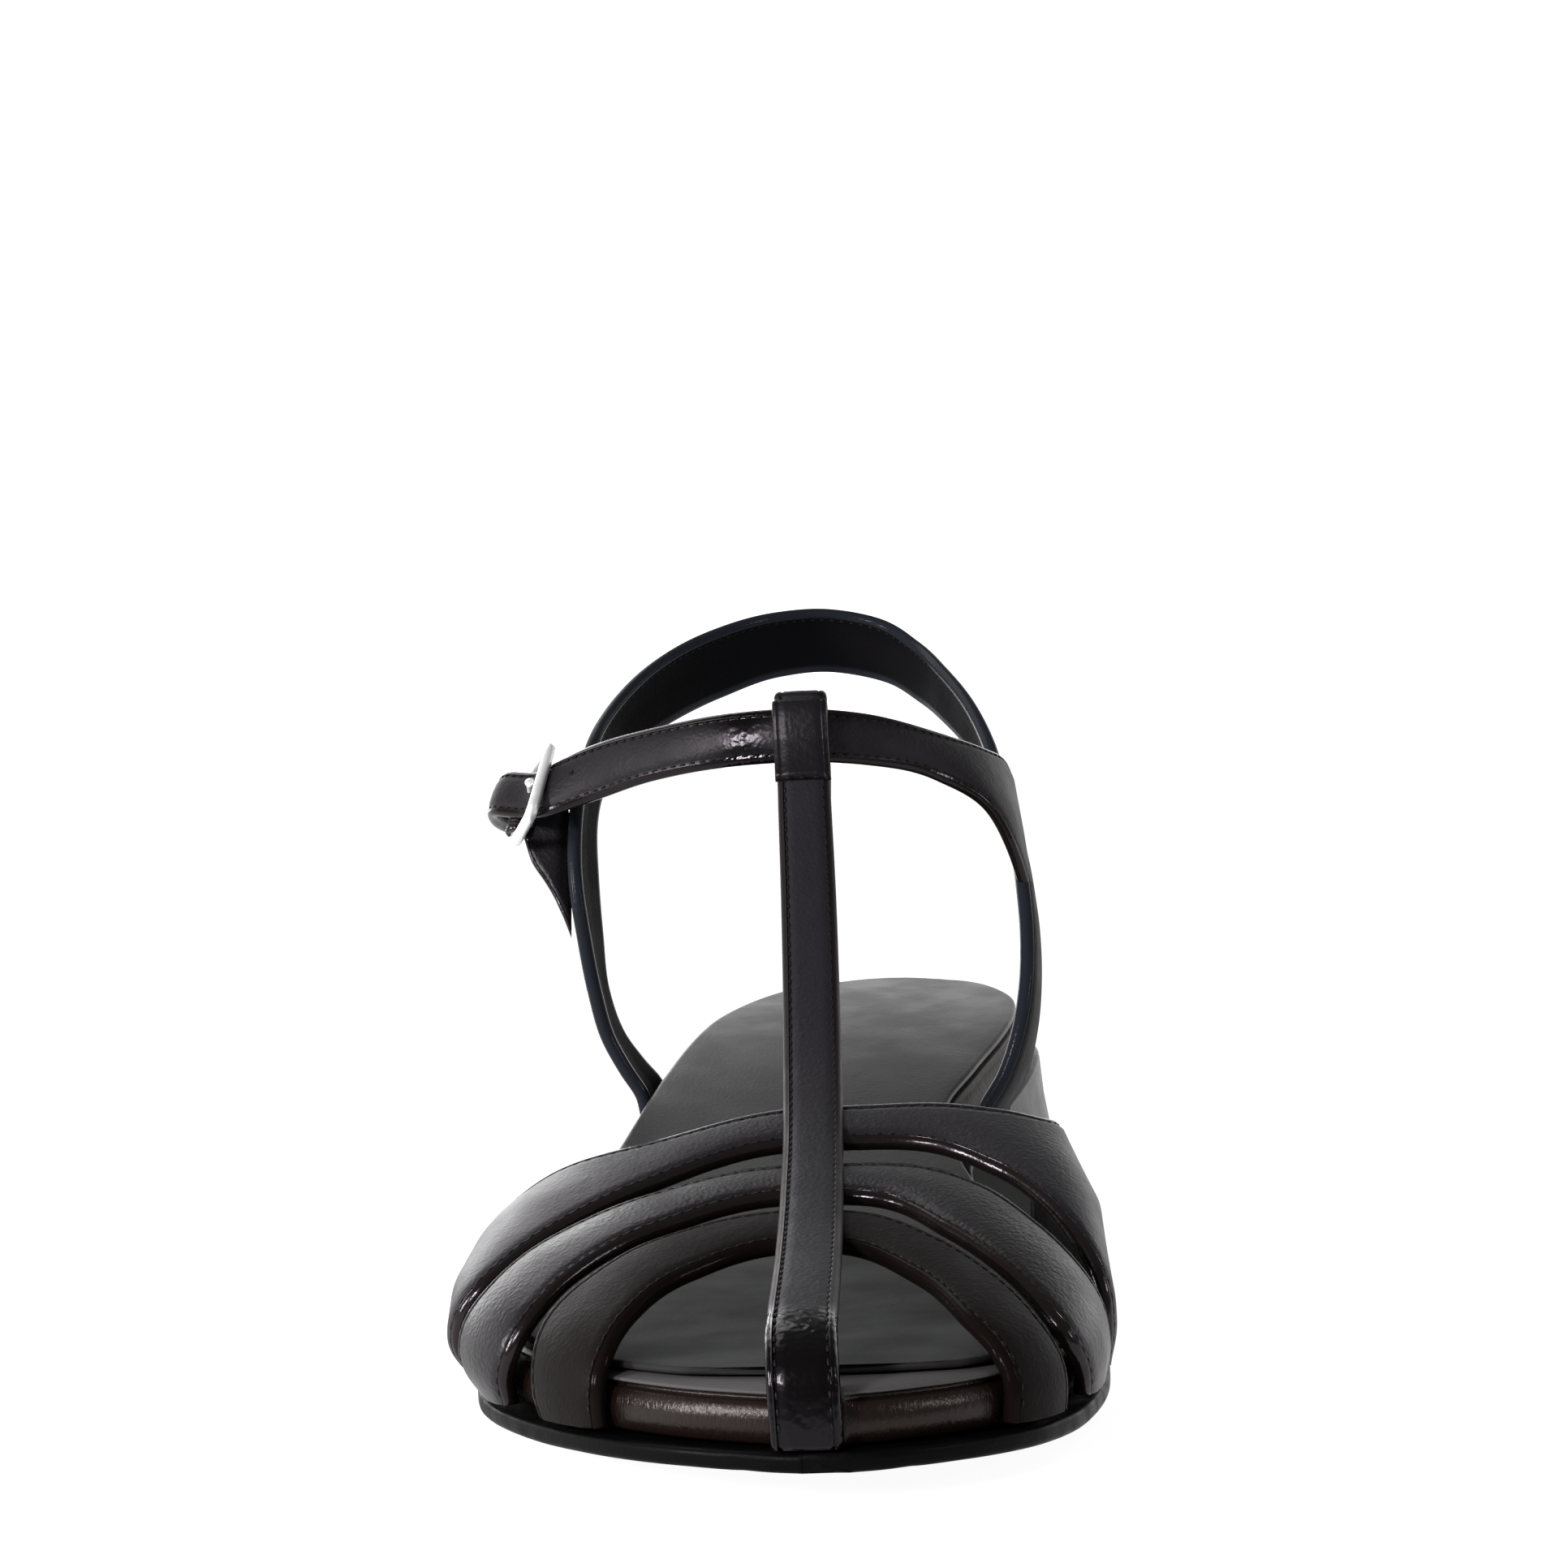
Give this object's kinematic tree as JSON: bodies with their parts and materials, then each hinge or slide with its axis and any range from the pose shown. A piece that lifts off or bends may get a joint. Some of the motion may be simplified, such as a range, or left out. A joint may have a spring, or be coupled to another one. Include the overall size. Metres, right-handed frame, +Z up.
{
  "type": "caged t-bar sandal",
  "caption": "Caged T-bar sandal with a hollow upper of joined leather straps, buckled ankle strap, heel sling, wrapped footbed and low block heel.",
  "frame": {"origin": "on the floor under the middle of the heel", "axes": "+Z up, -Y towards the toe, +X towards the inner side of the foot"},
  "size_m": [0.108, 0.2491, 0.1172],
  "materials": {
    "sole_rubber": "satin black, smooth",
    "wrap_leather": "glossy black, fine grain",
    "sock_leather": "matt black",
    "strap_leather": "satin black, fine grain",
    "frame_steel": "polished",
    "prong_steel": "polished",
    "tab_leather": "satin black, fine grain"
  },
  "bodies": {
    "root": {"sole_unit": "sole_rubber", "footbed": "wrap_leather", "insole": "sock_leather", "upper": "strap_leather", "buckle_frame": "frame_steel", "buckle_prong": "prong_steel", "buckle_tab": "tab_leather"}
  },
  "joints": []
}
